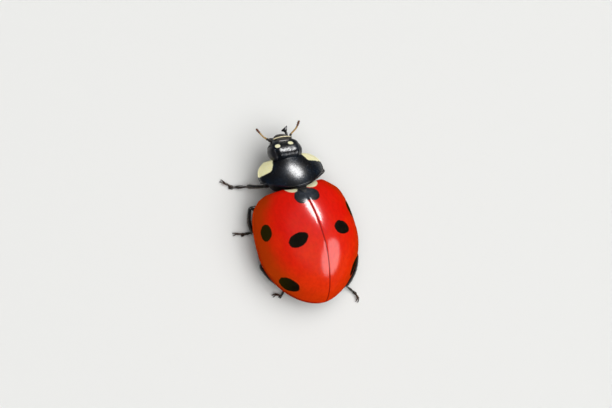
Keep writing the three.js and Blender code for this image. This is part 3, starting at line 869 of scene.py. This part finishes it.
# half widths of a joint, and of the blade along its edge and through it
PALP_JOINT = [(0, 0.0385), (0.3, 0.055), (0.8, 0.07), (1, 0.049)]
PALP_WIDE = [(0, 0.05), (0.3, 0.085), (0.8, 0.18), (0.94, 0.185), (1, 0.155)]
PALP_DEEP = [(0, 0.05), (0.5, 0.065), (0.9, 0.05), (1, 0.02)]
for side, (root, first, second, tip, edge) in PALPS.items():
    form = Form()
    for a, b in ((root, first), (first, second)):
        form.tube(bent([a, b], 8), tapered(PALP_JOINT, 8))
    path = bent([second, tip], 16)
    ahead = unit(path[-1] - path[0])
    level = unit(np.cross(np.cross(ahead, edge), ahead))
    lean = smooth(0.1, 0.8, np.linspace(0, 1, 16))
    wides = [w * unit(level * (1 - s) + unit(edge) * s) for w, s in zip(tapered(PALP_WIDE, 16), lean)]
    deeps = np.outer(tapered(PALP_DEEP, 16), unit(np.cross(ahead, edge)))
    form.ovals(path, wides, deeps, 24)
    form.piece(f"palp_hatchet_{side}", LEG_LOOK, "leg", [f"palp_{side}"])

# -------- underside
WAIST_Y = -0.95
belly_coat = Form()


def belly_plate(name, front, rear, depth, nodes=(), proud=0.02, keel=0.0):
    """One plate of the underside between two stations; its rear edge stands proud of the next plate."""
    rows = []
    for t in np.linspace(0, 1, max(8, int((rear - front) / 0.04))):
        y = front + (rear - front) * t
        half, margin, _ = case_outline(y)
        reach = max(0.04, half - 0.5)
        row = []
        for s in np.sin(np.linspace(-math.pi / 2, math.pi / 2, 61)):
            x = s * reach
            bow = 0.1 * (rear - front) * (1 - s * s) * t
            z = margin - 0.02 - depth * (1 - s * s) ** 0.5 * min(1, half / 1.6)
            z += proud * (0.6 * smooth(0.1, 0.0, t) - t**3) - keel * math.exp(-((x / 0.25) ** 2))
            row.append((x, y + bow, z))
        roof = [(s * reach * 0.98, y, margin + 0.25 * min(1, half)) for s in np.linspace(1, -1, 15)]
        rows.append(row + roof)
    Form().grid(rows).piece(name, BELLY_LOOK, "underside", nodes, crease=45)
    for _ in range(int(170 * (rear - front))):
        root = np.array(random.choice(rows)[random.randint(5, 55)])
        patch = (0.5 + root[0] / 6, 0.5 + root[1] / 8)
        hair(belly_coat, root, (0, 1, -0.4), random.uniform(0.05, 0.09), 0.0035, 0, patch)


belly_plate("hind_breast_plate", -2.45, WAIST_Y, 0.4, ["thorax"], keel=0.02)
belly_plate("middle_breast_plate", CASE_BASE_Y + 0.02, -2.4, 0.34, proud=0.015)
VENTRITES = [-0.93, -0.2, 0.38, 0.92, 1.42, 1.84, 2.22]
for i, (front, rear) in enumerate(zip(VENTRITES, VENTRITES[1:])):
    belly_plate(f"ventrite_{i + 1}", front, rear, 0.38 - 0.02 * i, () if i else ["abdomen"])
belly_coat.piece("belly_hairs", HAIR_LOOK, "underside")
egg((0, -3.6, 1.2), (1.18, 0.8, 0.62), 2.3).piece("fore_breast", BELLY_LOOK, "underside", ["prosternum"])
egg((0, -3.3, 0.66), (0.13, 0.55, 0.1), 2.6).piece("breast_process", BELLY_LOOK, "underside")
for side, name in SIDES:
    turn = Matrix.Rotation(side * 0.5, 3, "Z") @ Matrix.Rotation(side * 0.35, 3, "Y")
    flap = egg((side * 1.5, -2.42, 0.9), (0.34, 0.2, 0.09), 3.0, turn)
    flap.piece(f"side_plate_{name}", WHITE_LOOK, "underside")

# -------- legs
# Hip, knee, ankle, the ends of the first and second toe segments, and the root and tips of the claws.
LEGS = {
    "front_left": [
        (0.5, -3.5, 0.78), (1.3, -3.38, 0.97), (1.79, -3.6, 0.3), (2.32, -3.74, 0.11),
        (2.6, -3.83, 0.07), (2.8, -4.06, 0.1), (2.94, -4.22, 0),
    ],
    "front_right": [
        (-0.5, -3.42, 0.8), (-1.93, -3.34, 0.86), (-1.45, -3.08, 0.25), (-1.54, -2.82, 0.1),
        (-1.62, -2.62, 0.07), (-1.72, -2.36, 0.1), (-1.75, -2.24, 0),
    ],
    "middle_left": [
        (0.85, -2.1, 0.66), (2.2, -2.62, 0.74), (2.22, -1.5, 0.27), (2.48, -1.53, 0.1),
        (2.7, -1.53, 0.07), (2.97, -1.66, 0.1), (3.1, -1.66, 0),
    ],
    "middle_right": [
        (-0.85, -2.1, 0.66), (-2.14, -1.55, 0.64), (-2.14, -0.5, 0.25), (-2.22, -0.2, 0.1),
        (-2.28, 0.02, 0.07), (-2.34, 0.28, 0.1), (-2.34, 0.4, 0),
    ],
    "hind_left": [
        (0.9, -0.75, 0.64), (2.48, 0.12, 0.6), (1.38, 1.4, 0.27), (1.6, 1.66, 0.1),
        (1.74, 1.74, 0.07), (1.92, 1.55, 0.1), (2.07, 1.6, 0),
    ],
    "hind_right": [
        (-0.9, -0.75, 0.64), (-2.46, 0.8, 0.6), (-1.6, 2.1, 0.27), (-1.9, 2.4, 0.12),
        (-2.05, 2.6, 0.08), (-2.09, 2.8, 0.1), (-1.98, 2.97, 0),
    ],
}
BOWS = {"front": 0.05, "middle": 0.12, "hind": 0.16}  # how far each shin bends outwards
FOOT_SHARE = {"front": 1.0, "middle": 0.85, "hind": 0.7}  # how wide each foot is, beside the front ones
FEMUR = [(0, 0.08), (0.12, 0.15), (0.45, 0.21), (0.75, 0.19), (0.93, 0.13), (1, 0.07)]
TIBIA = [(0, 0.06), (0.08, 0.095), (0.5, 0.1), (0.85, 0.115), (0.96, 0.11), (1, 0.075)]
UP = np.array([0, 0, 1.0])


def limb(form, a, b, profile, flat, across, rings=22, sides=20, bow=(0, 0, 0)):
    """A leg segment from a to b: profile gives its half width, flat the share of that in its depth."""
    stations = np.linspace(0, 1, rings)
    path = np.array([a + (b - a) * t + np.asarray(bow) * math.sin(math.pi * t) for t in stations])
    widths = tapered(profile, rings)
    form.tube(path, widths, flat, across, sides)
    return path, widths


def hair_row(form, path, widths, count, length, span, lean, skin):
    """Hairs all round a limb, leaning towards its end. Skin is the strip of the unwrap that it takes."""
    for _ in range(count):
        t = random.uniform(*span) * (len(path) - 1)
        i = min(int(t), len(path) - 2)
        ahead = unit(path[i + 1] - path[i])
        beside = unit(np.cross(ahead, UP))
        turn = random.uniform(0, 2 * math.pi)
        around = beside * math.cos(turn) + np.cross(beside, ahead) * math.sin(turn)
        root = path[i] + (path[i + 1] - path[i]) * (t - i) + around * widths[i] * 0.75
        patch = (skin + 0.48 * t / len(path), turn / 6.4)
        out = around * (1 - lean) * 1.5 + ahead * lean
        hair(form, root, out, length * random.uniform(0.7, 1.2), 0.004, 0.15, patch)


for name, joints in LEGS.items():
    hip, knee, ankle, toe, pad, claw, tips = (np.array(p, float) for p in joints)
    side = np.sign(hip[0])
    pair = name.split("_")[0]
    slim = FOOT_SHARE[pair]
    hip_piece = egg(hip * (0.86, 1, 1) - (0, 0, 0.06), (0.34, 0.25, 0.2), 2.2)
    hip_piece.piece(f"hip_{name}", BELLY_LOOK, "underside", [f"coxa_{name}"])
    out = unit(knee - hip)
    lift = unit(np.cross(knee - hip, np.cross(UP, knee - hip)))
    thigh = Form()
    limb(thigh, hip - out * 0.1, hip + out * 0.16, [(0, 0.07), (0.5, 0.14), (1, 0.09)], 0.9, lift, 12)
    thigh_path, thigh_widths = limb(thigh, hip + out * 0.08, knee, FEMUR, 0.72, lift, 30, 24)
    thigh.piece(f"thigh_{name}", LEG_LOOK, "leg", [f"femur_{name}"])

    shin = Form()
    down = unit(ankle - knee)
    outward = unit(np.array([side, 0, 0.2]) - np.dot([side, 0, 0.2], down) * down)
    bow = outward * BOWS[pair]
    shin_path, shin_widths = limb(shin, knee, ankle, TIBIA, 0.8, lift, 28, 20, bow)
    for spread in (-1, 1):
        root = ankle + lift * 0.06 * spread
        spur = down + lift * 0.35 * spread
        spike = [root - spur * 0.03, root + spur * 0.04, root + spur * 0.1]
        shin.tube(spike, [0.024, 0.015, 0.003], 1.0, UP + 0.1, 8)
    shin.piece(f"shin_{name}", LEG_LOOK, "leg", [f"tibia_{name}"])

    foot = Form()
    ahead = unit((pad - ankle) * (1, 1, 0))
    level = np.cross(UP, ahead)
    first = [(t, width * slim) for t, width in ((0, 0.05), (0.3, 0.055), (0.8, 0.078), (1, 0.05))]
    lobe = [(t, width * slim) for t, width in ((0, 0.04), (0.4, 0.055), (0.8, 0.06), (1, 0.025))]
    limb(foot, ankle - (0, 0, 0.04), toe, first, 0.7, level, 14, 16)
    for spread in (-1, 1):
        tip = pad + level * 0.055 * slim * spread + ahead * 0.03 - (0, 0, 0.012)
        limb(foot, toe, tip, lobe, 0.7, level, 12, 14)
    foot.piece(f"toes_{name}", FOOT_LOOK, "leg", [f"tarsus_{name}"])

    last = Form()
    root = toe + (pad - toe) * 0.45 + (0, 0, 0.05)
    limb(last, root, claw, [(0, 0.034), (0.3, 0.038), (0.85, 0.055), (1, 0.036)], 0.85, level, 14, 14)
    forth = (tips - claw) * (1, 1, 0)
    beside = np.cross(UP, unit(forth))
    for spread in (-1, 1):
        root = claw + beside * 0.02 * spread
        hook = [
            root - forth * 0.15,
            root + forth * 0.45 + beside * 0.02 * spread + (0, 0, 0.015),
            root + forth * 0.9 + beside * 0.035 * spread - (0, 0, 0.03),
            root + forth + beside * 0.04 * spread - (0, 0, claw[2] * 0.92),
        ]
        widths = [0.03 * (1 - t) ** 0.6 + 0.003 for t in np.linspace(0, 1, 12)]
        last.tube(bent(hook, 12), widths, 1.0, forth + UP * 0.02, 10)
        tooth = bent([root + forth * 0.3, root + forth * 0.45 + beside * 0.02 * spread - (0, 0, 0.06)], 6)
        last.tube(tooth, [0.02 * (1 - t) + 0.002 for t in np.linspace(0, 1, 6)], 1.0, forth, 8)
    last.piece(f"claw_pair_{name}", CLAW_LOOK, "leg", [f"claws_{name}"])

    coat = Form()
    hair_row(coat, shin_path, shin_widths, 170, 0.08, (0.2, 1.0), 0.74, 0.0)
    hair_row(coat, thigh_path, thigh_widths, 70, 0.05, (0.3, 1.0), 0.82, 0.5)
    coat.piece(f"leg_hairs_{name}", HAIR_LOOK, "leg")
    soles = Form()
    for strip, (a, b, width) in enumerate(((ankle, toe, 0.08 * slim), (toe, pad, 0.11 * slim))):
        for _ in range(80):
            t, across = random.uniform(0.35, 1.1), random.uniform(-1, 1)
            root = a + (b - a) * t + level * across * width - (0, 0, 0.02)
            reach = min(0.08, max(0.02, root[2] - 0.004))
            patch = (0.5 * strip + 0.4 * t, 0.5 + 0.4 * across)
            hair(soles, root, unit(b - a) * 0.5 - UP, reach, 0.004, 0, patch)
    soles.piece(f"sole_hairs_{name}", DARK_HAIR_LOOK, "leg")

# -------- studio: floor and lamps in metres
FLOOR_REACH, LAMP_DISTANCE = 1.5, 0.35
pale = Look("pale studio floor", roughness=0.8, base_color=(0.8, 0.8, 0.78))
sheet = bpy.data.meshes.new("studio_floor")
corners = [(x * FLOOR_REACH, y * FLOOR_REACH, 0) for x, y in ((-1, -1), (1, -1), (1, 1), (-1, 1))]
sheet.from_pydata(corners, [], [(0, 1, 2, 3)])
sheet.materials.append(pale.material)
floor = put("studio_floor", sheet)

# the air is dim overhead and paler towards the horizon
world = bpy.data.worlds.new("studio air")
bpy.context.scene.world = world
world.use_nodes = True
air = Nodes(world.node_tree)
toward = air.node("ShaderNodeTexCoord", {}, {}, "Generated")
height = air.offsets(toward, (0, 0, 0), AXES[2:])[0]
strength = 0.04 + 0.03 * height.ramp(0.35, 0.0)
glow = air.node("ShaderNodeBackground", {}, {"Color": (0.93, 0.95, 1.0), "Strength": strength})
air.plug(world.node_tree.nodes["World Output"].inputs["Surface"], glow)

MID_HEIGHT = 1.5  # half the beetle's height, in millimetres
TARGET = Vector(((np.array([0, -1.5, MID_HEIGHT]) + SHIFT) * MM).tolist())


def lamp(name, direction, long_axis, size, power, mirrored):
    """An oval soft box aimed at the beetle, its size given across and along its long axis. Mirrored ones
    are the windows that gloss shows, and the others light the colours."""
    light = bpy.data.lights.new(name, "AREA")
    light.shape = "ELLIPSE"
    light.size, light.size_y = size
    light.energy = power
    made = put(name, light)
    back = Vector(direction).normalized()
    across = Vector(long_axis).cross(back).normalized()
    spin = Matrix((across, back.cross(across), back)).transposed()
    made.matrix_world = Matrix.Translation(TARGET + back * LAMP_DISTANCE) @ spin.to_4x4()
    made.visible_glossy = mirrored
    made.visible_diffuse = not mirrored


lamp("front_window", (-0.41, -0.505, 0.78), (-0.35, 1, 0.5), (0.11, 0.2), 1.9, True)
lamp("rear_window", (-0.52, 0.55, 0.65), (0.6, 0.7, -0.1), (0.25, 0.32), 0.95, True)
lamp("overhead_softbox", (-0.1, 0.1, 0.98), (0, 1, 0), (0.8, 0.8), 2.75, False)

# The camera leans to the beetle's left and is turned so that the head leans left in the view. In
# millimetres: how much it sees across, from how far, and how far it aims beside the beetle's own origin.
LEAN, TIP, ROLL = np.radians([24.9, -1.2, 16.6])
FIELD, DISTANCE = 28.33, 250.0
AIM_ACROSS, AIM_UP = 0.23145, 2.23585
SENSOR = 36.0  # its width
toward = np.array([math.sin(LEAN), -math.sin(TIP) * math.cos(LEAN), math.cos(TIP) * math.cos(LEAN)])
up = unit(np.array([0, -1.0, 0]) - np.dot([0, -1.0, 0], toward) * toward)
right = np.cross(-toward, up)
across = right * math.cos(ROLL) - up * math.sin(ROLL)
upright = up * math.cos(ROLL) + right * math.sin(ROLL)
aim = across * AIM_ACROSS + upright * AIM_UP
camera_data = bpy.data.cameras.new("camera")
camera = put("camera", camera_data)
camera_data.sensor_width = SENSOR
camera_data.lens = SENSOR * DISTANCE / FIELD
camera_data.clip_start, camera_data.clip_end = 0.01, 10
spin = Matrix((across.tolist(), upright.tolist(), toward.tolist())).transposed()
spot = (aim + toward * (DISTANCE + MID_HEIGHT) + SHIFT) * MM
camera.matrix_world = Matrix.Translation(spot.tolist()) @ spin.to_4x4()
bpy.context.scene.camera = camera
bpy.context.scene.view_settings.view_transform = "Standard"
